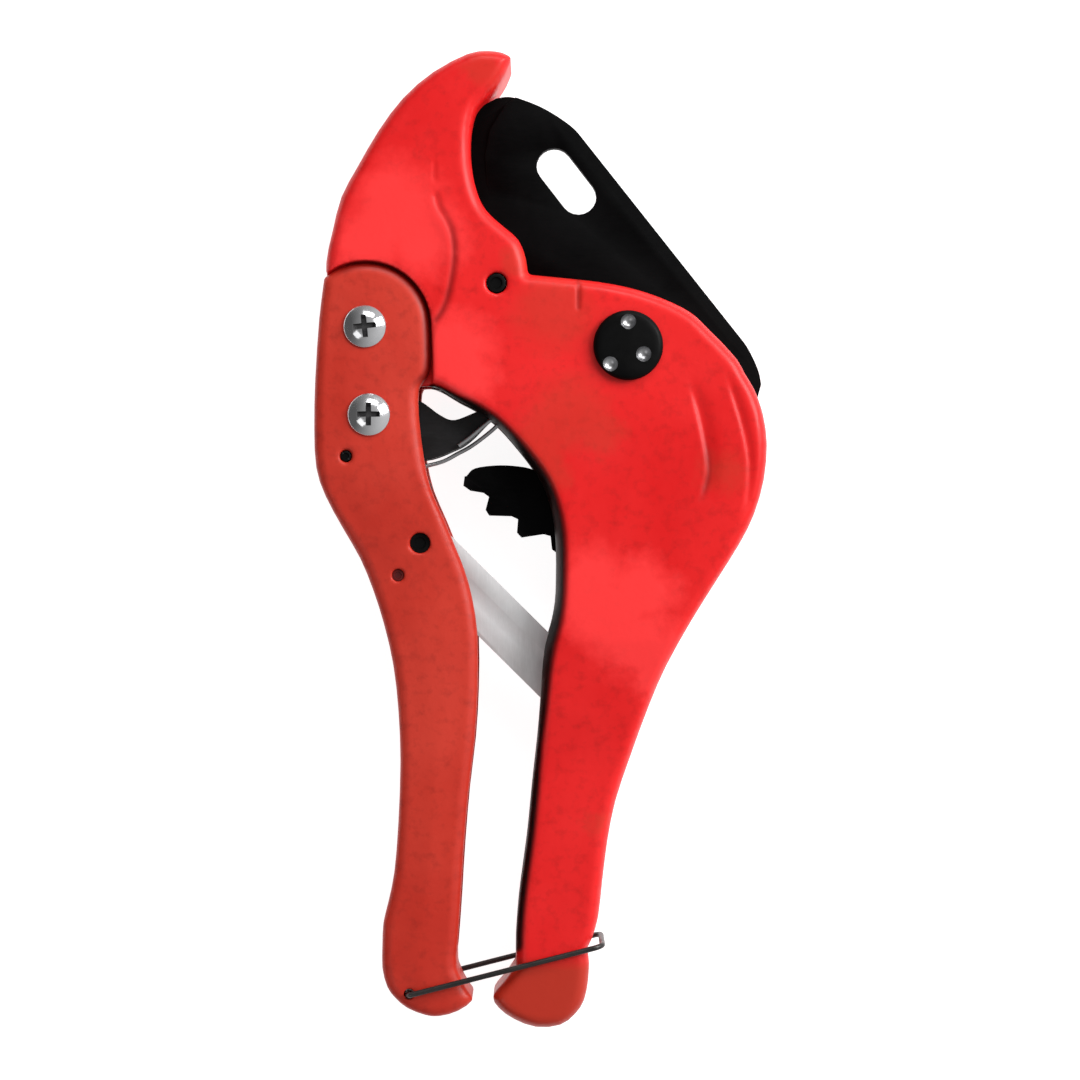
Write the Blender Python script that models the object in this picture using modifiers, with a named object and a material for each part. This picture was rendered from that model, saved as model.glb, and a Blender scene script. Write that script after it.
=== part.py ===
"""Ratchet cutter for plastic pipe, lying flat, handles shut and latched.

Frame: +X to the blade side, +Y to the tip of the jaw, +Z up. The rear face of
the main casting rests on z = 0 and the middle of the footprint is the origin.
Outlines are drawn on a grid (u to the right, v downward) of GRID metres.
"""
import math
import bpy
import bmesh
from mathutils import Matrix, Vector

# ---------------------------------------------------------------- dimensions
GRID = 0.0002163          # one drawing unit
U0, V0 = 541.0, 540.5     # drawing unit that lies on the origin
MM = 0.001
MID = 11.0 * MM           # height of the middle plane above the rest face

BODY_HALF = 11.0          # half thickness of the main casting, mm
WEB_HALF = 6.7            # web that the handle's head straddles
GRIP_HALF = 8.3           # half thickness of both grips
HEAD_HALF = 10.5          # half thickness of the handle's head
CLEVIS_HALF = 7.0         # inside of the handle's head
GRIP_BORE = 5.9           # half height of the channel in the grips
CAVITY_HALF = 4.2         # half height of the ratchet cavity
ROOM_HALF = 6.2           # half height of the cavity where the pawl swings
SLOT_HALF = 2.0           # half height of the blade slot
BLADE_HALF = 1.5
GAP = 0.3

PIVOT = (627, 348)        # blade pivot
HANDLE_PIVOT = (367, 329)
PAWL_PIVOT = (371, 416)
LINK_PIN = (421, 543)     # pin in the handle on which the link slides
LINK_PIVOT = (588, 709)   # pin in the fixed grip on which the link turns
LATCH_PIVOT = (410, 991)
LATCH_END = (602, 942)
STOP_PIN = (497, 286)

HANDLE_OPEN = 26.0        # degrees
LINK_RATIO = 0.508        # link turn per handle turn
TOOTH_PITCH = 10.4        # degrees
TOOTH_TIP = 218.0         # drawing units from the blade pivot
TOOTH_ROOT = 203.0
WIRE = 0.85               # latch wire radius, mm

for ob in list(bpy.data.objects):
    bpy.data.objects.remove(ob, do_unlink=True)

scene = bpy.context.scene
PARTS = bpy.data.collections.new("pipe_cutter")
CUTTERS = bpy.data.collections.new("cutters")
scene.collection.children.link(PARTS)
scene.collection.children.link(CUTTERS)


# ---------------------------------------------------------------- helpers
def xy(u, v):
    return ((u - U0) * GRID, (V0 - v) * GRID)


def material(name, colour, rough, metal):
    mat = bpy.data.materials.new(name)
    mat.use_nodes = True
    bsdf = mat.node_tree.nodes["Principled BSDF"]
    bsdf.inputs["Base Color"].default_value = (*colour, 1.0)
    bsdf.inputs["Roughness"].default_value = rough
    bsdf.inputs["Metallic"].default_value = metal
    return mat


def circle(centre, r, n=24):
    return [(centre[0] + r * math.cos(2 * math.pi * k / n),
             centre[1] + r * math.sin(2 * math.pi * k / n)) for k in range(n)]


def runs(*lists, steps=3):
    """Closed outline from smooth runs that meet at corners."""
    out = []
    for run in lists:
        pts = [Vector(p) for p in run]
        if len(pts) < 3:
            out += [tuple(p) for p in pts[:-1]]
            continue
        for i in range(len(pts) - 1):
            p1, p2 = pts[i], pts[i + 1]
            p0 = pts[i - 1] if i else p1 + (p1 - p2)
            p3 = pts[i + 2] if i + 2 < len(pts) else p2 + (p2 - p1)
            for k in range(steps):
                t = k / steps
                q = 0.5 * ((2 * p1) + (p2 - p0) * t
                           + (2 * p0 - 5 * p1 + 4 * p2 - p3) * t * t
                           + (3 * p1 - p0 - 3 * p2 + p3) * t ** 3)
                out.append((q.x, q.y))
    return out


def polar(centre, r, deg):
    """Point at an angle measured below the left-hand horizontal."""
    a = math.radians(deg)
    return (centre[0] - r * math.cos(a), centre[1] + r * math.sin(a))


def clean(me):
    bm = bmesh.new()
    bm.from_mesh(me)
    bmesh.ops.remove_doubles(bm, verts=bm.verts, dist=2e-6)
    bmesh.ops.recalc_face_normals(bm, faces=bm.faces)
    bm.to_mesh(me)
    bm.free()


def evaluated(ob):
    bpy.context.view_layer.update()
    deps = bpy.context.evaluated_depsgraph_get()
    return bpy.data.meshes.new_from_object(ob.evaluated_get(deps))


def curve_to_mesh(cu, name, coll, matrix=None):
    ob = bpy.data.objects.new(name + "_curve", cu)
    coll.objects.link(ob)
    me = evaluated(ob)
    bpy.data.objects.remove(ob, do_unlink=True)
    clean(me)
    me.materials.clear()
    new = bpy.data.objects.new(name, me)
    if matrix is not None:
        me.transform(matrix)
        clean(me)
    coll.objects.link(new)
    return new


def plate(name, outline, z0, z1, holes=(), coll=None, raw=False):
    """Flat outline extruded from z0 to z1 (mm from the middle plane)."""
    cu = bpy.data.curves.new(name, "CURVE")
    cu.dimensions = "2D"
    cu.fill_mode = "BOTH"
    cu.extrude = (z1 - z0) * 0.5 * MM
    for pts in (outline, *holes):
        sp = cu.splines.new("POLY")
        sp.points.add(len(pts) - 1)
        for p, q in zip(sp.points, pts):
            x, y = q if raw else xy(*q)
            p.co = (x, y, 0, 1)
        sp.use_cyclic_u = True
    lift = Matrix.Translation((0, 0, MID + (z0 + z1) * 0.5 * MM))
    return curve_to_mesh(cu, name, coll or PARTS, lift)


def cyl(name, centre, r, z0, z1, n=24, coll=None, r2=None):
    """Upright cylinder, radius and heights in mm."""
    me = bpy.data.meshes.new(name)
    bm = bmesh.new()
    bmesh.ops.create_cone(bm, cap_ends=True, segments=n, radius1=r * MM,
                          radius2=(r if r2 is None else r2) * MM,
                          depth=(z1 - z0) * MM)
    x, y = xy(*centre)
    bmesh.ops.translate(bm, verts=bm.verts,
                        vec=(x, y, MID + (z0 + z1) * 0.5 * MM))
    bm.to_mesh(me)
    bm.free()
    ob = bpy.data.objects.new(name, me)
    (coll or PARTS).objects.link(ob)
    return ob


def turned(name, centre, profile, n=28):
    """Turned piece: profile (radius, height) in mm, outer side top to bottom."""
    me = bpy.data.meshes.new(name)
    bm = bmesh.new()
    vs = [bm.verts.new((r * MM, 0, h * MM)) for r, h in profile]
    for a, b in zip(vs, vs[1:]):
        bm.edges.new((a, b))
    bm.to_mesh(me)
    bm.free()
    ob = bpy.data.objects.new(name, me)
    PARTS.objects.link(ob)
    m = ob.modifiers.new("turn", "SCREW")
    m.steps = m.render_steps = n
    m.angle = 2 * math.pi
    m.use_merge_vertices = True
    m.merge_threshold = 1e-5
    me2 = evaluated(ob)
    bpy.data.objects.remove(ob, do_unlink=True)
    x, y = xy(*centre)
    me2.transform(Matrix.Translation((x, y, MID)))
    clean(me2)
    new = bpy.data.objects.new(name, me2)
    PARTS.objects.link(new)
    return new


def wire(name, pts, radius, coll=None):
    """Round wire through points in metres."""
    cu = bpy.data.curves.new(name, "CURVE")
    cu.dimensions = "3D"
    cu.bevel_depth = radius * MM
    cu.bevel_resolution = 2
    cu.use_fill_caps = True
    sp = cu.splines.new("POLY")
    sp.points.add(len(pts) - 1)
    for p, q in zip(sp.points, pts):
        p.co = (*q, 1)
    return curve_to_mesh(cu, name, coll or PARTS)


def boolean(target, others, op="DIFFERENCE"):
    for c in others:
        m = target.modifiers.new("b", "BOOLEAN")
        m.operation = op
        m.solver = "EXACT"
        m.object = c
    me = evaluated(target)
    target.modifiers.clear()
    target.data = me
    clean(me)
    for c in others:
        bpy.data.objects.remove(c, do_unlink=True)
    return target


def both(name, outline, z0, z1):
    """The same cutter on the front and on the rear."""
    return [plate(name + "_f", outline, z0, z1, coll=CUTTERS),
            plate(name + "_r", outline, -z1, -z0, coll=CUTTERS)]


def thin_down(name, v_start, v_end, z_from, z_to, u0, u1):
    """Two wedges that bring a grip's thickness down along its length."""
    out = []
    for sign in (1, -1):
        prof = [(V0 - v_start, z_from), (V0 - v_end, z_to),
                (V0 - 1100, z_to), (V0 - 1100, 14), (V0 - v_start, 14)]
        pts = [(y * GRID, sign * z * MM) for y, z in prof]
        cu = bpy.data.curves.new(name, "CURVE")
        cu.dimensions = "2D"
        cu.fill_mode = "BOTH"
        cu.extrude = (u1 - u0) * 0.5 * GRID
        sp = cu.splines.new("POLY")
        sp.points.add(len(pts) - 1)
        for p, q in zip(sp.points, pts):
            p.co = (*q, 0, 1)
        sp.use_cyclic_u = True
        turn = Matrix(((0, 0, 1, ((u0 + u1) * 0.5 - U0) * GRID),
                       (1, 0, 0, 0), (0, 1, 0, MID), (0, 0, 0, 1)))
        out.append(curve_to_mesh(cu, name, CUTTERS, turn))
    return out


RED = material("body_paint", (0.72, 0.02, 0.022), 0.38, 0.0)
DARK_RED = material("handle_paint", (0.47, 0.045, 0.022), 0.45, 0.0)
BLACK = material("black_steel", (0.012, 0.012, 0.012), 0.4, 0.6)
PAWL_GREY = material("pawl_steel", (0.02, 0.02, 0.02), 0.45, 0.7)
STRAP = material("strap_steel", (0.55, 0.55, 0.55), 0.4, 0.9)
CHROME = material("chrome", (0.8, 0.8, 0.8), 0.12, 1.0)
STEEL = material("plain_steel", (0.5, 0.5, 0.5), 0.35, 1.0)
BRONZE = material("bush_bronze", (0.55, 0.36, 0.16), 0.4, 1.0)


def finish(ob, mat):
    ob.data.materials.clear()
    ob.data.materials.append(mat)
    ob.data.shade_smooth()
    ob.data.set_sharp_from_angle(angle=math.radians(35))
    return ob


# ---------------------------------------------------------------- main casting
HOOK_OUTER = [(512, 62), (503, 57), (488, 55), (468, 58), (434, 76), (404, 102),
              (380, 134), (359, 170), (343, 200), (334, 235), (328, 265),
              (329, 300), (334, 330)]
WEB_EDGE = [(334, 330), (342, 357), (367, 369), (396, 374), (418, 388)]
BODY_INNER = [(418, 388), (430, 387), (440, 390), (450, 396), (460, 402), (470, 407),
              (480, 413), (490, 420), (500, 429), (510, 440), (520, 452),
              (530, 465), (541, 482), (549, 502), (554, 525), (556, 550),
              (556, 580), (555, 603), (551, 624), (545, 645), (542, 672),
              (540, 705), (537, 740), (533, 775), (530, 805), (527, 835),
              (523, 865), (519, 895), (516, 930), (516, 963)]
RIGHT_FOOT = [(516, 963), (504, 980), (493, 994), (499, 1006), (514, 1017),
              (536, 1025), (560, 1023), (575, 1012), (584, 998), (588, 978),
              (589, 960)]
BODY_OUTER = [(587, 946), (592, 936), (598, 915), (602, 880), (607, 840),
              (615, 800), (630, 755), (648, 705), (665, 665), (690, 620),
              (715, 580), (737, 545), (752, 515), (762, 480), (765, 445),
              (762, 420), (758, 405), (752, 390), (743, 375), (736, 362),
              (722, 346), (706, 330), (694, 318), (680, 309), (660, 300),
              (640, 293), (620, 288), (600, 284.5), (580, 282), (560, 280),
              (540, 278), (528, 277)]
HOOK_INNER = [(528, 277), (526, 261), (519, 243), (506, 231), (493, 220),
              (483, 208), (477, 193), (473, 176), (471, 155), (472, 132),
              (477, 113), (486, 103), (497, 91), (506, 77), (512, 62)]

body = plate("body_casting",
             runs(HOOK_OUTER, WEB_EDGE, BODY_INNER, RIGHT_FOOT,
                  [(589, 960), (587, 946)], BODY_OUTER, HOOK_INNER, steps=2),
             -BODY_HALF, BODY_HALF,
             holes=(circle(PIVOT, 4.3 * MM / GRID, 24),
                    circle(HANDLE_PIVOT, 3.3 * MM / GRID, 24),
                    circle(STOP_PIN, 2.3 * MM / GRID, 16)))

# seat of the handle's head, on both faces of the web
seat = circle(HANDLE_PIVOT, 65.6, 52)
seat = [p for p in seat if p[1] <= HANDLE_PIVOT[1] + 0.1]
seat = sorted(seat, key=lambda p: math.atan2(p[1] - HANDLE_PIVOT[1] - 0.2,
                                             p[0] - HANDLE_PIVOT[0]))
seat += [(434, 360), (434, 412), (290, 412), (290, 340)]
boolean(body, both("seat", seat, WEB_HALF, 13))

# blade slot: around the pivot, where the ratchet tail sweeps, and in the hook
tail = [PIVOT] + [polar(PIVOT, 223, a) for a in range(-18, 103, 5)]
hook = [(512, 86), (484, 97), (462, 121), (454, 150), (456, 186), (466, 214),
        (484, 236), (498, 260), (506, 300), (600, 330), (660, 200), (600, 100)]
boolean(body, [plate("s1", circle(PIVOT, 147, 48), -SLOT_HALF, SLOT_HALF, coll=CUTTERS),
               plate("s2", tail, -SLOT_HALF, SLOT_HALF, coll=CUTTERS),
               plate("s3", hook, -SLOT_HALF, SLOT_HALF, coll=CUTTERS)])

# ratchet cavity, bush recess and grip channel
pawl_room = [(384, 372), (420, 350), (470, 338), (516, 343), (534, 400),
             (547, 451), (524, 504), (380, 504)]
swing_room = [(441, 346), (470, 339), (516, 344), (533, 400), (543, 454),
              (519, 508), (441, 508)]
grip_bore = runs([(480, 596), (664, 600), (690, 592)],
                 [(690, 592), (667, 630), (646, 668), (632, 705), (616, 752),
                  (602, 798), (594, 840), (589, 878), (584, 905)],
                 [(584, 905), (470, 905)], [(470, 905), (480, 596)], steps=2)
boolean(body, [plate("c1", pawl_room, -CAVITY_HALF, CAVITY_HALF, coll=CUTTERS),
               plate("c4", swing_room, -ROOM_HALF, ROOM_HALF, coll=CUTTERS),
               plate("c2", circle(PIVOT, 62, 32), -CAVITY_HALF, CAVITY_HALF, coll=CUTTERS),
               plate("c3", grip_bore, -GRIP_BORE, GRIP_BORE, coll=CUTTERS)])

# counterbore of the pivot nut, grip thinned toward the foot, link pin holes
boolean(body, [cyl("n1", PIVOT, 7.9, -12, -7.2, 32, CUTTERS),
               cyl("n2", LINK_PIVOT, 1.9, -12, 7.6, 16, CUTTERS)]
        + thin_down("t", 640, 770, BODY_HALF, GRIP_HALF, 430, 800))
finish(body, RED)

# ---------------------------------------------------------------- second handle
HEAD_TOP = [polar(HANDLE_PIVOT, 63.8, a) for a in range(50, 181, 10)]
HEAD_TOP = [(p[0], 2 * HANDLE_PIVOT[1] - p[1]) for p in HEAD_TOP]
H_INNER = [(HEAD_TOP[-1][0], HEAD_TOP[-1][1]), (432, 360), (429, 378), (420, 390),
           (420, 420), (425, 460), (432, 490), (445, 520), (455, 545),
           (465, 570), (473, 600), (478, 636), (478, 690), (475, 740),
           (469, 790), (464, 850), (461, 900), (458, 941)]
H_FOOT = [(458, 941), (457, 966), (468, 989), (473, 998), (458, 1009),
          (440, 1014), (426, 1013), (408, 1006), (396, 996), (388, 985),
          (383, 966), (383, 943)]
H_OUTER = [(383, 943), (384, 921), (389, 900), (395, 870), (399, 820),
           (401, 760), (399, 710), (394, 665), (385, 625), (374, 590),
           (361, 558), (344, 528), (327, 496), (318, 468), (316, 430),
           (317, 380), (321, 320), HEAD_TOP[0]]
handle = plate("handle_casting",
               runs(HEAD_TOP, H_INNER, H_FOOT, H_OUTER, steps=2),
               -HEAD_HALF, HEAD_HALF,
               holes=(circle(HANDLE_PIVOT, 2.3 * MM / GRID, 20),
                      circle(PAWL_PIVOT, 2.3 * MM / GRID, 20),
                      circle(LINK_PIN, 2.25 * MM / GRID, 20),
                      circle((348, 457), 1.4 * MM / GRID, 14),
                      circle((399, 575), 1.4 * MM / GRID, 14),
                      circle(LATCH_PIVOT, 1.25 * MM / GRID, 14)))
clevis = [(290, 240), (470, 240), (470, 392), (290, 384)]
h_bore = runs([(290, 380), (470, 380)], [(470, 380), (520, 500), (520, 900), (478, 952)],
              [(478, 952), (450, 950), (425, 945)],
              [(425, 945), (404, 920), (409, 890), (415, 850), (416, 760),
               (414, 710), (409, 665), (401, 625), (391, 590), (378, 557),
               (360, 527), (341, 494), (330, 466), (327, 430), (329, 392)],
              [(329, 392), (290, 380)], steps=2)
boolean(handle, [plate("k1", clevis, -CLEVIS_HALF, CLEVIS_HALF, coll=CUTTERS),
                 plate("k2", h_bore, -GRIP_BORE, GRIP_BORE, coll=CUTTERS)])
boolean(handle, [cyl("k3", HANDLE_PIVOT, 4.9, -12, -8.6, 24, CUTTERS),
                 cyl("k4", PAWL_PIVOT, 4.9, -12, -8.6, 24, CUTTERS)]
        + thin_down("t", 470, 590, HEAD_HALF, GRIP_HALF, 270, 500))
finish(handle, DARK_RED)

# ---------------------------------------------------------------- blade
def tail_teeth():
    """Saw teeth from the far end back to the nose, steep on the nose side."""
    pts = []
    a = 49.7 + 4 * TOOTH_PITCH
    pts.append(polar(PIVOT, TOOTH_TIP - 1, a + 2.0))
    for k in range(4, -1, -1):
        a = 49.7 + k * TOOTH_PITCH
        pts.append(polar(PIVOT, TOOTH_TIP - 1, a + 0.8))
        pts.append(polar(PIVOT, TOOTH_TIP - 3, a - 0.9))
        pts.append(polar(PIVOT, TOOTH_ROOT, a - 2.6))
        pts.append(polar(PIVOT, TOOTH_ROOT + 1, a - 4.6))
    pts.append(polar(PIVOT, 212, 42.2))
    pts.append(polar(PIVOT, 214, 40.0))
    pts.append(polar(PIVOT, 207, 38.2))
    return pts


BLADE_TOP = [(496, 96), (508, 94.5), (521, 97.5), (545, 107.5), (571, 124.5),
             (586, 141), (601, 159.5), (640, 210), (680, 262), (711, 300),
             (736, 331), (747, 345), (755, 360), (760, 373), (762, 384)]
BLADE_BACK = [(762, 384), (755, 407), (742, 429), (722, 449), (692, 468), (660, 480),
              (641, 510), (640, 565)]
TAIL_TOP = [(466, 476), (475, 468), (500, 465), (525, 467), (545, 472),
            (560, 462), (566, 440), (548, 410), (530, 375), (517, 335),
            (514, 300), (512, 272), (504, 250)]
EDGE = [(504, 250), (487, 232), (471, 212), (462, 186), (460, 154), (466, 126),
        (480, 106), (496, 96)]


def obround(a, b, r, n=10):
    ax, ay = a
    bx, by = b
    t = math.atan2(by - ay, bx - ax)
    return ([(bx + r * math.cos(t - math.pi / 2 + math.pi * k / n),
              by + r * math.sin(t - math.pi / 2 + math.pi * k / n)) for k in range(n + 1)]
            + [(ax + r * math.cos(t + math.pi / 2 + math.pi * k / n),
                ay + r * math.sin(t + math.pi / 2 + math.pi * k / n)) for k in range(n + 1)])


blade = plate("blade",
              runs(BLADE_TOP, BLADE_BACK, steps=4) + tail_teeth()
              + runs(TAIL_TOP, EDGE, steps=4),
              -BLADE_HALF, BLADE_HALF,
              holes=(obround((554.5, 164.5), (578.5, 195.5), 18),
                     circle(PIVOT, 5.8 * MM / GRID, 28)))
# the hollow-ground flanks along the cutting edge
bevel_line = [(530, 84), (505, 104), (490, 128), (485, 154), (487, 182), (495, 205),
              (512, 225), (530, 245), (470, 262), (440, 220), (430, 150), (450, 90)]


def ground(sign):
    cu = plate("grind", bevel_line, 0, 4, coll=CUTTERS)
    for v in cu.data.vertices:
        x, y, z = v.co
        d = max(0.0, min(1.0, (math.hypot(x - xy(*PIVOT)[0], y - xy(*PIVOT)[1]) / GRID
                               - 200.0) / 90.0))
        if z < MID + 2 * MM:
            v.co.z = MID + (BLADE_HALF + 0.1 - 1.3 * d) * MM
        if sign < 0:
            v.co.z = 2 * MID - v.co.z
    clean(cu.data)
    return cu


boolean(blade, [ground(1), ground(-1)])
finish(blade, BLACK)

bush = turned("blade_bush", PIVOT, [(4.4, -3.9), (4.4, 3.9), (5.5, 3.9), (5.5, -3.9), (4.4, -3.9)])
finish(bush, BRONZE)

# ---------------------------------------------------------------- pivot bolt set
head = turned("pivot_bolt", PIVOT,
              [(0, 13.2), (6.5, 13.2), (7.2, 12.9), (7.46, 12.3), (7.46, 11.3),
               (4.0, 11.3), (4.0, -10.6), (0, -10.6)][:8], 36)
dimples = []
for c in ((627, 325), (642, 357), (609, 367)):
    me = bpy.data.meshes.new("dimple")
    bm = bmesh.new()
    bmesh.ops.create_uvsphere(bm, u_segments=16, v_segments=8, radius=1.7 * MM)
    bmesh.ops.translate(bm, verts=bm.verts, vec=(*xy(*c), MID + 14.0 * MM))
    bm.to_mesh(me)
    bm.free()
    ob = bpy.data.objects.new("dimple", me)
    CUTTERS.objects.link(ob)
    dimples.append(ob)
finish(boolean(head, dimples), BLACK)

washer = turned("pivot_washer", PIVOT, [(4.3, -7.9), (4.3, -7.5), (7.5, -7.5), (7.5, -7.9), (4.3, -7.9)])
finish(washer, STEEL)
nut = plate("pivot_nut", circle(PIVOT, 7.3 * MM / GRID, 6), -10.7, -8.2,
            holes=(circle(PIVOT, 4.3 * MM / GRID, 24),))
finish(nut, STEEL)

spring_pts = []
for k in range(0, 60):
    a = 2 * math.pi * k / 24
    r = (6.6 + 1.55 * k / 24) * MM
    x, y = xy(*PIVOT)
    spring_pts.append((x + r * math.cos(a), y + r * math.sin(a), MID + 2.85 * MM))
finish(wire("blade_spring", spring_pts, 0.5), STEEL)

finish(cyl("blade_stop_pin", STOP_PIN, 2.0, -10.7, 10.6, 20), BLACK)
finish(cyl("link_anchor_pin", LINK_PIVOT, 1.6, -9.2, 7.3, 20), STEEL)


# ---------------------------------------------------------------- screws, bushes
def screw(name, centre):
    ob = turned(name, centre,
                [(0, 12.7), (1.8, 12.55), (3.2, 12.05), (4.2, 11.35), (4.55, 10.8),
                 (2.0, 10.8), (2.0, -9.9), (0, -9.9)], 28)
    return finish(ob, CHROME)


screw("handle_pivot_screw", HANDLE_PIVOT)
screw("pawl_pivot_screw", PAWL_PIVOT)
finish(turned("handle_pivot_bush", HANDLE_PIVOT,
              [(2.3, -6.6), (2.3, 6.6), (3.0, 6.6), (3.0, -6.6), (2.3, -6.6)]), BRONZE)
finish(turned("pawl_bush", PAWL_PIVOT,
              [(2.3, -5.5), (2.3, 5.5), (2.9, 5.5), (2.9, -5.5), (2.3, -5.5)]), BRONZE)
for nm, c in (("handle_pivot_nut", HANDLE_PIVOT), ("pawl_pivot_nut", PAWL_PIVOT)):
    finish(plate(nm, circle(c, 4.5 * MM / GRID, 6), -10.2, -8.9,
                 holes=(circle(c, 2.3 * MM / GRID, 20),)), STEEL)
finish(cyl("spring_anchor_pin", (348, 457), 1.1, -9.8, 10.2, 14), BLACK)
finish(cyl("handle_dowel", (399, 575), 1.1, -8.0, 8.0, 14), DARK_RED)
finish(cyl("link_pin", LINK_PIN, 1.95, -8.2, 8.2, 20), BLACK)

# ---------------------------------------------------------------- pawl
BEAK = [(371, 390), (398, 395), (420, 401), (440, 415), (455, 420), (480, 411),
        (497, 413)]
BEAK_LOW = [(497, 413), (485, 426), (470, 441), (455, 450), (425, 460), (395, 452),
            (374, 442)]
HUB = [(PAWL_PIVOT[0] - 26 * math.cos(math.radians(a)),
        PAWL_PIVOT[1] + 26 * math.sin(math.radians(a))) for a in range(85, -91, -16)]
pawl = plate("pawl", runs(BEAK, BEAK_LOW, steps=5) + HUB,
             -3.8, 3.8, holes=(circle(PAWL_PIVOT, 3.2 * MM / GRID, 20),))
split = plate("split", [(400, 380), (520, 380), (520, 480), (400, 480)],
              -BLADE_HALF - GAP, BLADE_HALF + GAP, coll=CUTTERS)
boolean(pawl, [split])
finger = plate("finger", runs([(388, 434), (404, 449), (421, 469), (431, 486), (430, 491)],
                              [(430, 491), (424, 490), (404, 474), (388, 458), (380, 443)],
                              [(380, 443), (388, 434)], steps=3),
               -BLADE_HALF, BLADE_HALF, coll=CUTTERS)
boolean(pawl, [finger], "UNION")
finish(pawl, PAWL_GREY)


def at(u, v, z):
    return (*xy(u, v), MID + z * MM)


spring = [at(PAWL_PIVOT[0] + 20 * math.cos(t), PAWL_PIVOT[1] + 20 * math.sin(t), 4.85)
          for t in [math.radians(a) for a in range(-200, 76, 15)]]
spring += [at(u, v, z) for u, v, z in (
    (385, 446, 4.85), (400, 461, 4.0), (416, 467, 2.9), (430, 465, 2.7), (444, 461, 2.7),
    (457, 454, 2.7), (470, 447, 2.9), (484, 437, 3.3), (496, 427, 3.9), (502, 420, 4.5),
    (500, 416, 4.85), (494, 418, 4.95), (484, 426, 4.95), (470, 438, 4.95), (459, 446, 4.9))]
finish(wire("pawl_spring", spring, 0.45), STEEL)

# ---------------------------------------------------------------- limit link


def turn(p, c, deg):
    """Rotate clockwise, as seen from the front, about c."""
    t = math.radians(deg)
    x, y = p[0] - c[0], p[1] - c[1]
    return (c[0] + x * math.cos(t) - y * math.sin(t),
            c[1] + x * math.sin(t) + y * math.cos(t))


# path of the sliding pin as the link sees it, from shut to open
path = []
for k in range(0, 13):
    h = HANDLE_OPEN * k / 12
    path.append(Vector(turn(turn(LINK_PIN, HANDLE_PIVOT, h), LINK_PIVOT, LINK_RATIO * h)))


def around(points, r, n=12):
    """Round-ended band of half width r along a path."""
    left, right = [], []
    for i, p in enumerate(points):
        d = (points[min(i + 1, len(points) - 1)] - points[max(i - 1, 0)]).normalized()
        nrm = Vector((-d.y, d.x))
        left.append(p + nrm * r)
        right.append(p - nrm * r)
    d1 = (points[-1] - points[-2]).normalized()
    d0 = (points[0] - points[1]).normalized()
    a1, a0 = math.atan2(d1.y, d1.x), math.atan2(d0.y, d0.x)
    cap1 = [points[-1] + Vector((math.cos(a1 + math.pi / 2 - math.pi * k / n),
                                 math.sin(a1 + math.pi / 2 - math.pi * k / n))) * r
            for k in range(1, n)]
    cap0 = [points[0] + Vector((math.cos(a0 + math.pi / 2 - math.pi * k / n),
                                math.sin(a0 + math.pi / 2 - math.pi * k / n))) * r
            for k in range(1, n)]
    return [tuple(p) for p in left + cap1 + right[::-1] + cap0]


slot_r = 1.95 * MM / GRID + 1.7
d = (path[0] - Vector(LINK_PIVOT)).normalized()
n = Vector((-d.y, d.x))
G = Vector(LINK_PIVOT)
end = path[-1]
strap = ([tuple(G - n * 26)]
         + [tuple(path[0] - n * 26 - d * 20), tuple(path[0] - n * 24 + d * 10)]
         + [tuple(end + Vector((math.cos(a), math.sin(a))) * 20.5)
            for a in [math.atan2(-n.y, -n.x) + math.pi * k / 14 for k in range(0, 15)]]
         + [tuple(path[0] + n * 24 + d * 10), tuple(path[0] + n * 26 - d * 20)]
         + [tuple(G + n * 26)]
         + [tuple(G + Vector((math.cos(a), math.sin(a))) * 26)
            for a in [math.atan2(n.y, n.x) + math.pi * k / 16 for k in range(1, 16)]])
link = plate("limit_link", strap, -0.8, 0.8,
             holes=(around(path, slot_r), circle(LINK_PIVOT, 1.95 * MM / GRID, 20)))
finish(link, STRAP)

# ---------------------------------------------------------------- latch wire
zl = GRIP_HALF + GAP + 0.1 + WIRE
ax, ay = LATCH_PIVOT
bx, by = LATCH_END
loop = [at(ax, ay, -6.6), at(ax, ay, -zl + 0.5), at(ax + 2.2, ay - 0.6, -zl)]
for k in range(1, 7):
    t = k / 7
    loop.append(at(ax + (bx - ax) * t, ay + (by - ay) * t, -zl))
loop += [at(bx - 6, by + 1.5, -zl), at(bx - 1.5, by + 0.4, -zl + 0.4),
         at(bx, by, -zl + 1.6), at(bx, by, 0), at(bx, by, zl - 1.6),
         at(bx - 1.5, by + 0.4, zl - 0.4), at(bx - 6, by + 1.5, zl)]
for k in range(6, 0, -1):
    t = k / 7
    loop.append(at(ax + (bx - ax) * t, ay + (by - ay) * t, zl))
loop += [at(ax + 2.2, ay - 0.6, zl), at(ax, ay, zl - 0.5), at(ax, ay, 6.6)]
finish(wire("latch_wire", loop, WIRE), STEEL)


# ---------------------------------------------------------------- moving groups
def group(name, centre, nodes, parent=None):
    """Empty on the joint's axis that carries a moving group."""
    e = bpy.data.objects.new(name, None)
    PARTS.objects.link(e)
    world = Matrix.Translation((*xy(*centre), MID))
    e.matrix_world = world
    if parent is not None:
        e.parent = parent
        e.matrix_parent_inverse = parent.matrix_world.inverted()
        e.matrix_basis = world
    bpy.context.view_layer.update()
    for nm in nodes:
        ob = bpy.data.objects[nm]
        ob.parent = e
        ob.matrix_parent_inverse = e.matrix_world.inverted()
    return e


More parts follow.
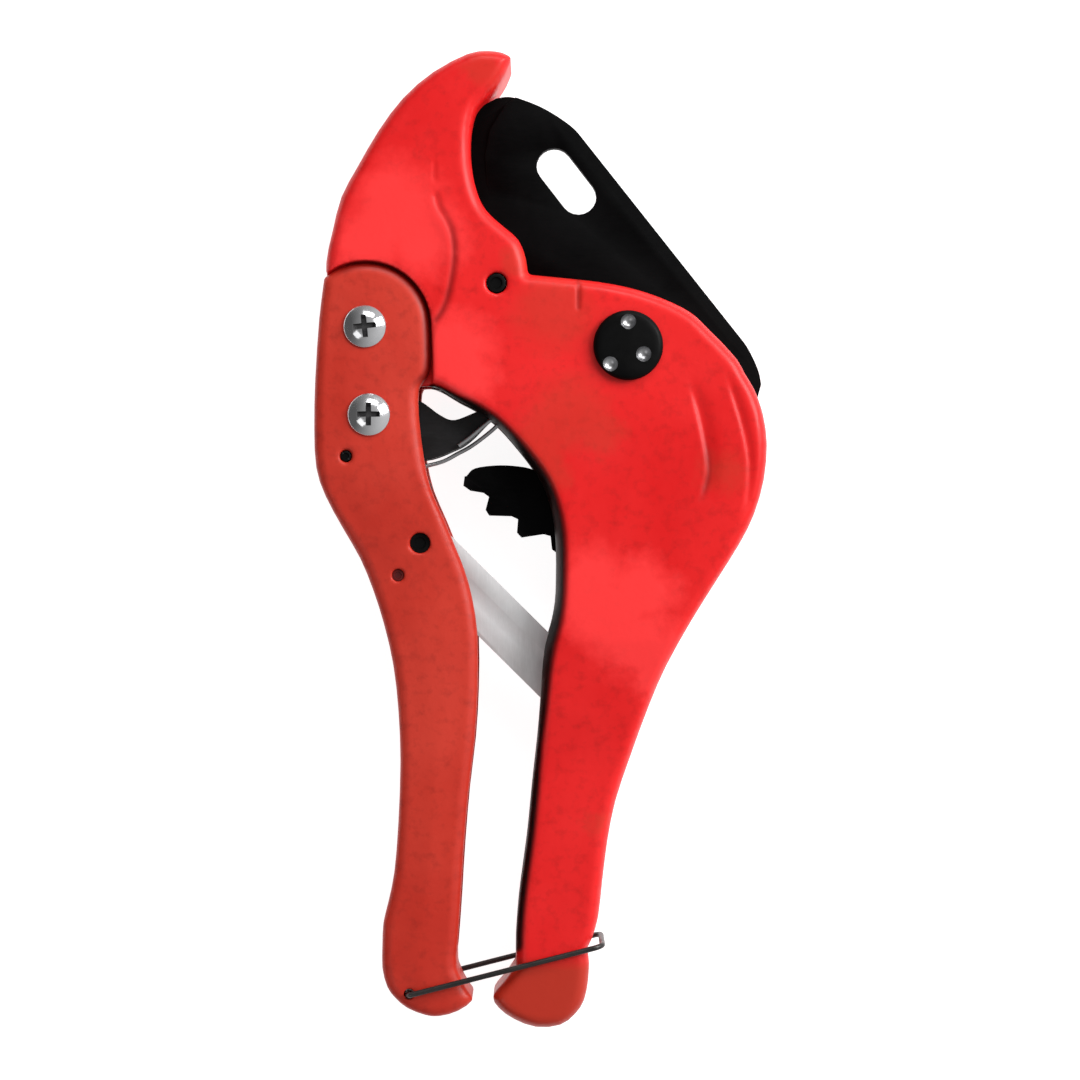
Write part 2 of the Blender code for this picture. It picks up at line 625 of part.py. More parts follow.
handle_axis = group("handle_axis", HANDLE_PIVOT,
                    ["handle_casting", "handle_pivot_screw", "handle_pivot_nut",
                     "pawl_pivot_screw", "pawl_pivot_nut", "pawl_bush",
                     "spring_anchor_pin", "handle_dowel", "link_pin"])
group("blade_axis", PIVOT, ["blade", "blade_bush"])
group("pawl_axis", PAWL_PIVOT, ["pawl", "pawl_spring"], handle_axis)
group("link_axis", LINK_PIVOT, ["limit_link"])
group("latch_axis", LATCH_PIVOT, ["latch_wire"], handle_axis)
bpy.context.view_layer.update()
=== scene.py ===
"""Looks of the ratchet pipe cutter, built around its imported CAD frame."""
import math

import bmesh
import bpy
import numpy as np
from mathutils import Matrix, Vector


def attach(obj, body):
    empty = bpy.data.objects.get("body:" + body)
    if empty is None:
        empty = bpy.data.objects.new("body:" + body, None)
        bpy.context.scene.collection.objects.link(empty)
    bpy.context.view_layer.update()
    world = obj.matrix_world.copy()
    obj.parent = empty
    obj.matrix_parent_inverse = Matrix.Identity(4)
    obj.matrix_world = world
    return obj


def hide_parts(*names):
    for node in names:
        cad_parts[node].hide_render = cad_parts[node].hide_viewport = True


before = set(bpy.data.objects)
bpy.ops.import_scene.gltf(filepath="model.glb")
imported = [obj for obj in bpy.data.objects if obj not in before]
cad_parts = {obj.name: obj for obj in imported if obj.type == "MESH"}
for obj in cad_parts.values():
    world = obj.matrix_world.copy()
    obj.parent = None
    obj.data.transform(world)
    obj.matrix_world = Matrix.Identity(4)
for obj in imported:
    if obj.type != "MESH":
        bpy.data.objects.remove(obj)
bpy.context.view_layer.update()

GRID = 0.0002163
U0, V0 = 541.0, 540.5
MM = 0.001
MID = 0.011
PIVOT, HANDLE_PIVOT, PAWL_PIVOT = (627, 348), (367, 329), (371, 416)
LINK_PIN, LINK_PIVOT, STOP_PIN = (421, 543), (588, 709), (497, 286)
LATCH_PIVOT, LATCH_END = (410, 991), (602, 942)


def xy(u, v):
    return ((u - U0) * GRID, (V0 - v) * GRID)


def at(u, v, z):
    return Vector((*xy(u, v), MID + z * MM))


# ------------------------------------------------------------------ node help
class Nodes:
    """Small helper that adds and links shader nodes."""

    def __init__(self, name):
        self.mat = bpy.data.materials.new(name)
        self.mat.use_nodes = True
        self.t = self.mat.node_tree
        self.bsdf = self.t.nodes["Principled BSDF"]
        self.pos = self.add("ShaderNodeTexCoord").outputs["Object"]

    def add(self, kind, **props):
        n = self.t.nodes.new(kind)
        for k, v in props.items():
            setattr(n, k, v)
        return n

    def link(self, a, b):
        self.t.links.new(a, b)

    def noise(self, scale, detail=4.0, rough=0.55, dist=0.0, stretch=None):
        n = self.add("ShaderNodeTexNoise")
        n.inputs["Scale"].default_value = scale
        n.inputs["Detail"].default_value = detail
        n.inputs["Roughness"].default_value = rough
        n.inputs["Distortion"].default_value = dist
        src = self.pos
        if stretch is not None:
            m = self.add("ShaderNodeMapping")
            m.inputs["Scale"].default_value = stretch[0]
            m.inputs["Rotation"].default_value = stretch[1]
            self.link(src, m.inputs["Vector"])
            src = m.outputs["Vector"]
        self.link(src, n.inputs["Vector"])
        return n.outputs["Fac"]

    def ramp(self, fac, stops):
        r = self.add("ShaderNodeValToRGB")
        while len(r.color_ramp.elements) < len(stops):
            r.color_ramp.elements.new(0.5)
        for e, (p, c) in zip(r.color_ramp.elements, stops):
            e.position = p
            e.color = (*c, 1) if len(c) == 3 else c
        self.link(fac, r.inputs["Fac"])
        return r.outputs["Color"]

    def span(self, fac, lo, hi, a=0.3, b=0.7):
        m = self.add("ShaderNodeMapRange")
        m.inputs["From Min"].default_value = a
        m.inputs["From Max"].default_value = b
        m.inputs["To Min"].default_value = lo
        m.inputs["To Max"].default_value = hi
        self.link(fac, m.inputs["Value"])
        return m.outputs["Result"]

    def mix(self, fac, a, b, mode="MIX"):
        m = self.add("ShaderNodeMix", data_type="RGBA", blend_type=mode)
        for sock, val in ((m.inputs[0], fac), (m.inputs[6], a), (m.inputs[7], b)):
            if isinstance(val, (int, float)):
                sock.default_value = val
            elif isinstance(val, tuple):
                sock.default_value = (*val, 1)
            else:
                self.link(val, sock)
        return m.outputs[2]

    def math(self, op, a, b=None):
        m = self.add("ShaderNodeMath", operation=op)
        for sock, val in zip(m.inputs, (a, b)):
            if val is None:
                continue
            if isinstance(val, (int, float)):
                sock.default_value = val
            else:
                self.link(val, sock)
        return m.outputs[0]

    def bump(self, height, dist, strength=1.0, after=None):
        b = self.add("ShaderNodeBump")
        b.inputs["Distance"].default_value = dist
        b.inputs["Strength"].default_value = strength
        self.link(height, b.inputs["Height"])
        if after is not None:
            self.link(after, b.inputs["Normal"])
        return b.outputs["Normal"]

    def set(self, **vals):
        for k, v in vals.items():
            sock = self.bsdf.inputs[k.replace("_", " ")]
            if isinstance(v, (int, float)):
                sock.default_value = v
            elif isinstance(v, tuple):
                sock.default_value = (*v, 1)
            else:
                self.link(v, sock)
        return self.mat


def near(n, spots):
    """1 near the given places on the front face, with ragged borders."""
    total = None
    ragged = n.math("MULTIPLY", n.noise(140, 5, 0.7), 0.012)
    for u, v, r in spots:
        d = n.add("ShaderNodeVectorMath", operation="DISTANCE")
        n.link(n.pos, d.inputs[0])
        d.inputs[1].default_value = (*xy(u, v), 0.022)
        m = n.span(n.math("ADD", d.outputs["Value"], ragged), 1.0, 0.0, r * 0.55 * MM + 0.006, r * 1.25 * MM + 0.006)
        total = m if total is None else n.math("MAXIMUM", total, m)
    return total


def paint(name, base, light, dark, rough, foot_shade=None, highlight_spots=None, shade_spots=None, painted_shade_tone=None):
    """Enamel on a casting: cloudy tone, orange peel, pits and rubbed edges, with painted highlight spots, painted
    shade spots, painted shade on the lowest end of the grip, painted shade in hollows and painted shade from the
    mesh's "shade" attribute.
    """
    n = Nodes(name)
    cloud = n.noise(22, 5, 0.6, 0.3)
    tone = n.mix(n.span(cloud, 0, 1, 0.32, 0.68), base, light)
    fine = n.noise(420, 3, 0.6)
    tone = n.mix(n.span(fine, 0.0, 0.35, 0.5, 0.8), tone, dark)
    if highlight_spots is not None:
        # painted highlight: lighter red patches where the light catches the casting's slopes
        tone = n.mix(n.math("MULTIPLY", near(n, highlight_spots), 0.75), tone, (1.0, 0.046, 0.046))
    if shade_spots is not None:
        # painted shade: darker brown patches at the listed spots, around the bolt boss and on the hook tip
        tone = n.mix(n.math("MULTIPLY", near(n, shade_spots), 0.38), tone, (0.50, 0.038, 0.017))
    # painted shade: darker tone on the lowest end of the grip, below the latch wire
    if foot_shade is not None:
        sep = n.add("ShaderNodeSeparateXYZ")
        n.link(n.pos, sep.inputs[0])
        y0 = (V0 - 957) * GRID
        tone = n.mix(n.span(sep.outputs["Y"], 1.0, 0.0, y0 - 0.0022, y0 + 0.0008), tone, foot_shade)
    # painted shade: concave places found by pointiness are darkened
    geo = n.add("ShaderNodeNewGeometry").outputs["Pointiness"]
    hollow_shade = n.span(geo, 0.75, 0.0, 0.40, 0.492)
    tone = n.mix(hollow_shade, tone, dark)
    # painted shade: the mesh's "shade" attribute mixes the enamel toward this dark colour
    if painted_shade_tone is not None:
        tone = n.mix(n.add("ShaderNodeAttribute", attribute_name="shade").outputs["Fac"], tone, painted_shade_tone)
    ridge = n.math("MULTIPLY", n.span(geo, 0, 1, 0.53, 0.62), n.span(n.noise(160, 4, 0.7), 0.1, 0.9, 0.42, 0.62))
    tone = n.mix(n.math("MULTIPLY", ridge, 0.35), tone, light)
    peel = n.noise(900, 2, 0.5)
    cast = n.noise(120, 4, 0.6)
    nrm = n.bump(cast, 0.00022, 0.5)
    nrm = n.bump(peel, 0.00005, 0.6, nrm)
    r = n.span(n.noise(60, 4, 0.6), rough - 0.06, rough + 0.1)
    m = n.set(Base_Color=tone, Roughness=r, Normal=nrm)
    n.bsdf.inputs["Coat Weight"].default_value = 0.07
    n.bsdf.inputs["Coat Roughness"].default_value = 0.22
    n.bsdf.inputs["Specular IOR Level"].default_value = 0.24
    return m


def steel(name, base, alt, rough, metal, grain=(1, 1, 1), turn=(0, 0, 0), scratch=0.4, scale=300, spec=0.5):
    """Metal with a directional grain, mottling and fine scratches."""
    n = Nodes(name)
    brushed = n.noise(scale, 5, 0.65, 0.0, (grain, turn))
    blot = n.noise(70, 5, 0.65, 0.4)
    tone = n.mix(n.span(blot, 0, 1, 0.35, 0.7), base, alt)
    tone = n.mix(n.math("MULTIPLY", n.span(brushed, 0, 1, 0.45, 0.75), scratch), tone, alt)
    geo = n.add("ShaderNodeNewGeometry").outputs["Pointiness"]
    tone = n.mix(n.math("MULTIPLY", n.span(geo, 0, 1, 0.54, 0.66), 0.35), tone,
                 tuple(min(1.0, c * 2.2 + 0.05) for c in alt))
    nrm = n.bump(brushed, 0.00004, 0.6)
    nrm = n.bump(n.noise(1500, 2, 0.5), 0.00002, 0.4, nrm)
    r = n.span(n.noise(110, 4, 0.6), max(0.04, rough - 0.08), rough + 0.1)
    n.bsdf.inputs["Specular IOR Level"].default_value = spec
    return n.set(Base_Color=tone, Roughness=r, Metallic=metal, Normal=nrm)


MAT = {
    "body": paint("body_enamel", (0.66, 0.0045, 0.0055), (0.80, 0.016, 0.016), (0.26, 0.003, 0.002), 0.38,
                  # painted shade tone for the lowest end of the grip
                  (0.47, 0.028, 0.013),
                  # painted highlights: lighter red patches at these spots
                  highlight_spots=[(398, 215, 11), (372, 245, 9), (425, 240, 9), (455, 352, 9), (468, 372, 7),
                          (590, 592, 10), (612, 612, 10), (640, 640, 9), (655, 668, 6), (640, 590, 8)],
                  # painted shade: darker brown patches at these spots
                  shade_spots=[(556, 312, 9), (570, 415, 9), (598, 438, 5), (537, 440, 6), (548, 470, 5),
                        (722, 470, 5), (517, 268, 3.5), (482, 72, 4.5), (600, 815, 4)],
                  # near-black painted shade for the inner flank and the crease
                  painted_shade_tone=(0.0035, 0.0006, 0.0007)),
    "handle": paint("handle_enamel", (0.50, 0.023, 0.011), (0.62, 0.046, 0.026), (0.18, 0.008, 0.004), 0.44,
                    # painted shade colour for the rounded border of the handle's head
                    painted_shade_tone=(0.15, 0.002, 0.0015)),
    "dowel": paint("dowel_enamel", (0.09, 0.003, 0.003), (0.12, 0.005, 0.004), (0.03, 0.001, 0.001), 0.5),
    "blade": steel("blade_black", (0.0010, 0.0010, 0.0011), (0.0032, 0.0032, 0.0034), 0.5, 0.0,
                   (1, 8, 1), (0, 0, 0.9), 0.5, 300, 0.03),
    "edge": steel("ground_edge", (0.06, 0.06, 0.065), (0.13, 0.13, 0.135), 0.32, 0.8, (12, 1, 1), (0, 0, 0.3), 0.6),
    "pawl": steel("pawl_dark", (0.010, 0.010, 0.010), (0.020, 0.020, 0.021), 0.5, 0.0, (1, 6, 1), (0, 0, 0.4), 0.5, 300, 0.12),
    "strap": steel("strap_zinc", (0.60, 0.60, 0.60), (0.72, 0.72, 0.73), 0.45, 0.15, (9, 1, 1), (0, 0, 0.78), 0.6),
    "chrome": steel("screw_chrome", (0.86, 0.86, 0.87), (0.70, 0.70, 0.72), 0.14, 1.0, (1, 1, 1), (0, 0, 0), 0.15),
    "steel": steel("plain_steel", (0.52, 0.52, 0.53), (0.36, 0.36, 0.37), 0.32, 1.0, (1, 5, 1), (0, 0, 0), 0.5),
    "wire": steel("latch_steel", (0.016, 0.015, 0.015), (0.05, 0.048, 0.046), 0.36, 0.5, (1, 6, 1), (0, 0, 0), 0.5),
    "black": steel("black_oxide", (0.0015, 0.0015, 0.0016), (0.005, 0.005, 0.005), 0.42, 0.0, (1, 1, 1), (0, 0, 0), 0.4, 300, 0.06),
    "recess": steel("recess_shadow", (0.05, 0.048, 0.05), (0.09, 0.088, 0.09), 0.45, 0.6, (1, 1, 1), (0, 0, 0), 0.3),
    "bronze": steel("bush_bronze", (0.50, 0.31, 0.13), (0.36, 0.21, 0.09), 0.36, 1.0, (1, 6, 1), (0, 0, 0), 0.5),
}


# ------------------------------------------------------------------ mesh help
def link_new(name, me, mat, body, node=None):
    ob = bpy.data.objects.new(name, me)
    bpy.context.scene.collection.objects.link(ob)
    me.materials.clear()
    for m in (mat if isinstance(mat, (list, tuple)) else [mat]):
        me.materials.append(m)
    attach(ob, body)
    if node:
        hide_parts(node)
    return ob


def evaluated(ob):
    bpy.context.view_layer.update()
    return bpy.data.meshes.new_from_object(ob.evaluated_get(bpy.context.evaluated_depsgraph_get()))


def cad_copy(node):
    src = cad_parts[node]
    me = src.data.copy()
    me.transform(src.matrix_world)
    bm = bmesh.new()
    bm.from_mesh(me)
    bmesh.ops.remove_doubles(bm, verts=bm.verts, dist=2e-6)
    bmesh.ops.recalc_face_normals(bm, faces=bm.faces)
    bm.to_mesh(me)
    bm.free()
    for k in list(me.attributes):
        if k.name == "custom_normal":
            me.attributes.remove(k)
    return me


def smooth_run(*lists, steps=3):
    out = []
    for run in lists:
        pts = [Vector(p) for p in run]
        if len(pts) < 3:
            out += [tuple(p) for p in pts[:-1]]
            continue
        for i in range(len(pts) - 1):
            p1, p2 = pts[i], pts[i + 1]
            p0 = pts[i - 1] if i else p1 + (p1 - p2)
            p3 = pts[i + 2] if i + 2 < len(pts) else p2 + (p2 - p1)
            for k in range(steps):
                t = k / steps
                q = 0.5 * ((2 * p1) + (p2 - p0) * t + (2 * p0 - 5 * p1 + 4 * p2 - p3) * t * t
                           + (3 * p1 - p0 - 3 * p2 + p3) * t ** 3)
                out.append((q.x, q.y))
    return out


def to_m(pts):
    return np.array([xy(*p) for p in pts])


def line_distance(p, line, closed=False):
    """Distance of each point to a polyline, all in metres."""
    best = np.full(len(p), 1e9)
    n = len(line)
    for i in range(n if closed else n - 1):
        a, b = line[i], line[(i + 1) % n]
        ab = b - a
        t = np.clip(((p - a) @ ab) / max(1e-18, ab @ ab), 0, 1)
        d = np.hypot(p[:, 0] - a[0] - t * ab[0], p[:, 1] - a[1] - t * ab[1])
        best = np.minimum(best, d)
    return best


def inside(p, poly):
    res = np.zeros(len(p), bool)
    n = len(poly)
    for i in range(n):
        a, b = poly[i], poly[(i + 1) % n]
        if abs(a[1] - b[1]) < 1e-12:
            continue
        cross = ((a[1] > p[:, 1]) != (b[1] > p[:, 1])) & (
            p[:, 0] < (b[0] - a[0]) * (p[:, 1] - a[1]) / (b[1] - a[1]) + a[0])
        res ^= cross
    return res


def step(x, a, b):
    t = np.clip((x - a) / (b - a), 0, 1)
    return t * t * (3 - 2 * t)


def coords(me):
    c = np.empty(len(me.vertices) * 3)
    me.vertices.foreach_get("co", c)
    return c.reshape(-1, 3)


def put(me, c):
    me.vertices.foreach_set("co", c.reshape(-1))
    me.update()


def casting(node, mat, body, outline, thick, relief, voxel=0.00048, radius=2.6 * MM, keep=0.34, web=None,
            slope=None, shade=None):
    """Cast piece: the CAD solid's surface with poured radii and surface relief."""
    me = cad_copy(node)
    tmp = bpy.data.objects.new("tmp", me)
    bpy.context.scene.collection.objects.link(tmp)
    m = tmp.modifiers.new("v", "REMESH")
    m.mode = "VOXEL"
    m.voxel_size = voxel
    m.adaptivity = 0.0
    me2 = evaluated(tmp)
    tmp.modifiers.clear()
    c = coords(me2)
    z = c[:, 2] - MID
    d = line_distance(c[:, :2], outline, True)
    d = np.where(inside(c[:, :2], outline), d, 0.0)
    top = thick(c)
    if web is not None:
        top = np.where(web(c), 99.0, top)
    rr = np.minimum(radius, top)
    k = np.clip(rr - d, 0, rr)
    zmax = top - rr + np.sqrt(np.maximum(rr * rr - k * k, 0))
    if slope is not None:
        zmax = np.minimum(zmax, slope(c, top))
    z = np.sign(z) * np.minimum(np.abs(z), zmax)
    c[:, 2] = z + MID
    put(me2, c)
    tmp.data = me2
    s = tmp.modifiers.new("s", "SMOOTH")
    s.factor = 0.5
    s.iterations = 5
    me3 = evaluated(tmp)
    tmp.modifiers.clear()
    c = coords(me3)
    nrm = np.empty(len(me3.vertices) * 3)
    me3.vertices.foreach_get("normal", nrm)
    nrm = nrm.reshape(-1, 3)
    c[:, 2] += relief(c, nrm)
    put(me3, c)
    tmp.data = me3
    dm = tmp.modifiers.new("d", "DECIMATE")
    dm.ratio = keep
    me4 = evaluated(tmp)
    bpy.data.objects.remove(tmp, do_unlink=True)
    if shade is not None:
        dark = me4.attributes.new("shade", "FLOAT", "POINT")
        dark.data.foreach_set("value", shade(coords(me4)).astype(np.float32))
    me4.shade_smooth()
    return link_new(node + "_finish", me4, mat, body, node)


def softened(node, mat, body, width=0.25 * MM, segs=2, angle=32, assign=None):
    """CAD piece with small broken edges."""
    me = cad_copy(node)
    bm = bmesh.new()
    bm.from_mesh(me)
    bmesh.ops.dissolve_limit(bm, angle_limit=math.radians(1.5), verts=bm.verts, edges=bm.edges)
    bm.to_mesh(me)
    bm.free()
    tmp = bpy.data.objects.new("tmp", me)
    bpy.context.scene.collection.objects.link(tmp)
    b = tmp.modifiers.new("b", "BEVEL")
    b.width = width
    b.segments = segs
    b.limit_method = "ANGLE"
    b.angle_limit = math.radians(angle)
    b.use_clamp_overlap = True
    me2 = evaluated(tmp)
    bpy.data.objects.remove(tmp, do_unlink=True)
    me2.shade_smooth()
    me2.set_sharp_from_angle(angle=math.radians(40))
    ob = link_new(node + "_finish", me2, mat, body, node)
    if assign:
        for p in me2.polygons:
            p.material_index = assign(p)
    return ob


def lathe(name, centre, profile, mat, body, node=None, n=72, sharp=38):
    """Closed turned piece from (radius, height) pairs in mm."""
    bm = bmesh.new()
    x0, y0 = xy(*centre)
    rings = []
    for r, h in profile:
        if r < 1e-6:
            rings.append([bm.verts.new((x0, y0, MID + h * MM))])
        else:
            rings.append([bm.verts.new((x0 + r * MM * math.cos(2 * math.pi * k / n),
                                        y0 + r * MM * math.sin(2 * math.pi * k / n),
                                        MID + h * MM)) for k in range(n)])
    loops = list(zip(rings, rings[1:]))
    if profile[0][0] > 1e-6:
        loops.append((rings[-1], rings[0]))
    for a, b in loops:
        for k in range(n):
            j = (k + 1) % n
            vs = [a[k % len(a)], a[j % len(a)], b[j % len(b)], b[k % len(b)]]
            vs = list(dict.fromkeys(vs))
            if len(vs) > 2:
                bm.faces.new(vs)
    bmesh.ops.recalc_face_normals(bm, faces=bm.faces)
    me = bpy.data.meshes.new(name)
    bm.to_mesh(me)
    bm.free()
    me.shade_smooth()
    me.set_sharp_from_angle(angle=math.radians(sharp))
    return link_new(name, me, mat, body, node)


def tube(name, pts, radius, mat, body, node=None, fine=4, res=5):
    """Round wire along a smooth path."""
    P = [Vector(p) for p in pts]
    out = []
    for i in range(len(P) - 1):
        p1, p2 = P[i], P[i + 1]
        p0 = P[i - 1] if i else p1 + (p1 - p2)
        p3 = P[i + 2] if i + 2 < len(P) else p2 + (p2 - p1)
        for k in range(fine):
            t = k / fine
            out.append(0.5 * ((2 * p1) + (p2 - p0) * t + (2 * p0 - 5 * p1 + 4 * p2 - p3) * t * t
                              + (3 * p1 - p0 - 3 * p2 + p3) * t ** 3))
    out.append(P[-1])
    cu = bpy.data.curves.new(name, "CURVE")
    cu.dimensions = "3D"
    cu.bevel_depth = radius * MM
    cu.bevel_resolution = res
    cu.use_fill_caps = True
    sp = cu.splines.new("POLY")
    sp.points.add(len(out) - 1)
    for p, q in zip(sp.points, out):
        p.co = (*q, 1)
    ob = bpy.data.objects.new("tmp", cu)
    bpy.context.scene.collection.objects.link(ob)
    me = evaluated(ob)
    bpy.data.objects.remove(ob, do_unlink=True)
    bm = bmesh.new()
    bm.from_mesh(me)
    bmesh.ops.remove_doubles(bm, verts=bm.verts, dist=2e-6)
    bmesh.ops.recalc_face_normals(bm, faces=bm.faces)
    bm.to_mesh(me)
    bm.free()
    me.shade_smooth()
    me.set_sharp_from_angle(angle=math.radians(50))
    return link_new(name, me, mat, body, node)


# ------------------------------------------------------------------ castings
HOOK_OUTER = [(512, 62), (503, 57), (488, 55), (468, 58), (434, 76), (404, 102),
              (380, 134), (359, 170), (343, 200), (334, 235), (328, 265),
              (329, 300), (334, 330)]
WEB_EDGE = [(334, 330), (342, 357), (367, 369), (396, 374), (418, 388)]
BODY_INNER = [(418, 388), (430, 387), (440, 390), (450, 396), (460, 402), (470, 407),
              (480, 413), (490, 420), (500, 429), (510, 440), (520, 452),
              (530, 465), (541, 482), (549, 502), (554, 525), (556, 550),
              (556, 580), (555, 603), (551, 624), (545, 645), (542, 672),
              (540, 705), (537, 740), (533, 775), (530, 805), (527, 835),
              (523, 865), (519, 895), (516, 930), (516, 963)]
RIGHT_FOOT = [(516, 963), (504, 980), (493, 994), (499, 1006), (514, 1017),
              (536, 1025), (560, 1023), (575, 1012), (584, 998), (588, 978),
              (589, 960)]
BODY_OUTER = [(587, 946), (592, 936), (598, 915), (602, 880), (607, 840),
              (615, 800), (630, 755), (648, 705), (665, 665), (690, 620),
              (715, 580), (737, 545), (752, 515), (762, 480), (765, 445),
              (762, 420), (758, 405), (752, 390), (743, 375), (736, 362),
              (722, 346), (706, 330), (694, 318), (680, 309), (660, 300),
              (640, 293), (620, 288), (600, 284.5), (580, 282), (560, 280),
              (540, 278), (528, 277)]
HOOK_INNER = [(528, 277), (526, 261), (519, 243), (506, 231), (493, 220),
              (483, 208), (477, 193), (473, 176), (471, 155), (472, 132),
              (477, 113), (486, 103), (497, 91), (506, 77), (512, 62)]
BODY_LINE = to_m(smooth_run(HOOK_OUTER, WEB_EDGE, BODY_INNER, RIGHT_FOOT,
                            [(589, 960), (587, 946)], BODY_OUTER, HOOK_INNER, steps=2))

HEAD_TOP = []
for a in range(50, 181, 10):
    t = math.radians(a)
    HEAD_TOP.append((HANDLE_PIVOT[0] - 63.8 * math.cos(t), HANDLE_PIVOT[1] - 63.8 * math.sin(t)))
H_INNER = [HEAD_TOP[-1], (432, 360), (429, 378), (420, 390),
           (420, 420), (425, 460), (432, 490), (445, 520), (455, 545),
           (465, 570), (473, 600), (478, 636), (478, 690), (475, 740),
           (469, 790), (464, 850), (461, 900), (458, 941)]
H_FOOT = [(458, 941), (457, 966), (468, 989), (473, 998), (458, 1009),
          (440, 1014), (426, 1013), (408, 1006), (396, 996), (388, 985),
          (383, 966), (383, 943)]
H_OUTER = [(383, 943), (384, 921), (389, 900), (395, 870), (399, 820),
           (401, 760), (399, 710), (394, 665), (385, 625), (374, 590),
           (361, 558), (344, 528), (327, 496), (318, 468), (316, 430),
           (317, 380), (321, 320), HEAD_TOP[0]]
HANDLE_LINE = to_m(smooth_run(HEAD_TOP, H_INNER, H_FOOT, H_OUTER, steps=2))

P1 = np.array(xy(*HANDLE_PIVOT))


def v_of(c):
    return V0 - c[:, 1] / GRID


def body_thick(c):
    return (11.0 - 2.7 * step(v_of(c), 640, 775)) * MM


def handle_thick(c):
    return (10.5 - 2.2 * step(v_of(c), 470, 595)) * MM


def in_seat(c):
    """Web under the handle's head: the castings' own outline doesn't round it."""
    d = np.hypot(c[:, 0] - P1[0], c[:, 1] - P1[1]) / GRID
    v = v_of(c)
    u = c[:, 0] / GRID + U0
    low = (np.abs(c[:, 2] - MID) < 7.3 * MM)
    return low & ((d < 67) | ((v > 329) & (v < 414) & (u < 436)))


INNER_LINE = smooth_run([(432, 388)] + BODY_INNER[2:-1] + [(516, 952)], steps=2)
INNER_M = to_m(INNER_LINE)


def flank_width(c):
    """How far the dark flank of the inner edge reaches onto the casting."""
    return np.interp(v_of(c), [388, 402, 430, 460, 530, 600, 650, 690, 740, 790, 860, 950],
                     [0.9, 1.7, 2.1, 2.5, 3.0, 2.8, 3.2, 2.6, 1.8, 2.4, 2.3, 2.3]) * MM


def inner_slope(c, top):
    """Steep flank along the inner edge of the jaw casting and its grip."""
    t = np.clip(line_distance(c[:, :2], INNER_M) / flank_width(c), 0, 1)
    low = np.maximum(top - 4.6 * MM, 6.95 * MM)
    return np.where(t < 1, low + (top - low) * np.sin(t * math.pi / 2) ** 0.8, 99.0)


def groove(p, line, width, depth):
    d = line_distance(p, to_m(line))
    return -depth * MM * np.exp(-(d / (width * MM)) ** 2)


CREASE = smooth_run([(437, 200), (440, 211), (446, 221), (452, 233), (455, 248), (455, 265), (452, 285), (448, 302),
                     (443, 314), (437, 323)], steps=3)
CREASE.append((437, 323))
NICK = [(436, 168), (436, 184)]
TICK = [(578, 282), (578, 311)]
ARC_IN = smooth_run([(688, 380), (699, 420), (707, 465), (703, 490), (697, 508)], steps=5)
ARC_OUT = smooth_run([(723, 372), (738, 418), (747, 460), (745, 500), (736, 522)], steps=5)


def arc_groove(p, line, width, depth, lead):
    """Curved step that fades at both ends and is steeper on one side."""
    pts = to_m(line)
    d = line_distance(p, pts)
    v = V0 - p[:, 1] / GRID
    v0, v1 = line[0][1], line[-1][1]
    fade = step(v, v0 - 4, v0 + 34) * (1 - step(v, v1 - 26, v1 + 4))
    ux = np.interp(v, [q[1] for q in line], [q[0] for q in line])
    side = p[:, 0] / GRID + U0 - ux
    w = np.where(side > 0, width * lead, width)
    return -depth * MM * np.exp(-(d / (w * MM)) ** 2) * fade


def body_relief(c, n):
    p = c[:, :2]
    face = step(n[:, 2], 0.5, 0.9) * (c[:, 2] > MID + 7.5 * MM)
    dz = groove(p, CREASE, 0.70, 0.40) + groove(p, TICK, 0.42, 0.35) + groove(p, NICK, 0.42, 0.22)
    dz += arc_groove(p, ARC_IN, 0.6, 0.55, 3.2) + arc_groove(p, ARC_OUT, 0.5, 0.40, 2.2)
    # the jaw's wall falls a little toward its outer edge, the boss swells around the bolt
    u = c[:, 0] / GRID + U0
    v = v_of(c)
    side = line_distance(p, to_m(CREASE))
    left = (u < np.interp(v, [60, 200, 248, 285, 340], [437, 437, 455, 452, 434])) & (v < 345)
    dz += np.where(left, -0.30 * MM * step(side, 0.0, 3.5 * MM) * step(v, 195, 245), 0.0)
    dz += 0.12 * MM * (np.sin(u / 61.0) * np.cos(v / 83.0))* step(side, 0, 6 * MM)
    out = dz * face
    back = step(-n[:, 2], 0.5, 0.9) * (c[:, 2] < MID - 7.5 * MM)
    out += -(groove(p, CREASE, 0.70, 0.40) + groove(p, TICK, 0.42, 0.35)) * back
    return out


def handle_relief(c, n):
    p = c[:, :2]
    face = step(np.abs(n[:, 2]), 0.5, 0.9) * (np.abs(c[:, 2] - MID) > 6.6 * MM)
    d = line_distance(p, HANDLE_LINE, True)
    sign = np.sign(c[:, 2] - MID)
    crown = -0.30 * MM * (1 - step(d, 2.0 * MM, 8.0 * MM))
    return sign * crown * face


def body_shade(c):
    """Painted shade on the inner flank, along the crease, the inner arc and the tick."""
    d = line_distance(c[:, :2], INNER_M)
    flank = 1 - step(d / flank_width(c), 0.42, 1.0)
    line = line_distance(c[:, :2], to_m(CREASE))
    v = v_of(c)
    crease = 0.50 * np.exp(-(line / (0.70 * MM)) ** 2) * step(v, 198, 250)
    arc = line_distance(c[:, :2], to_m(ARC_IN))
    crease = np.maximum(crease, 0.42 * np.exp(-(arc / (0.75 * MM)) ** 2) * step(v, 425, 462) * (1 - step(v, 488, 506)))
    tick = line_distance(c[:, :2], to_m(TICK))
    crease = np.maximum(crease, 0.30 * np.exp(-(tick / (0.55 * MM)) ** 2))
    crease *= np.abs(c[:, 2] - MID) > 7.5 * MM
    return np.maximum(flank, crease)


casting("body_casting", MAT["body"], "frame", BODY_LINE, body_thick, body_relief, web=in_seat,
        slope=inner_slope, shade=body_shade)


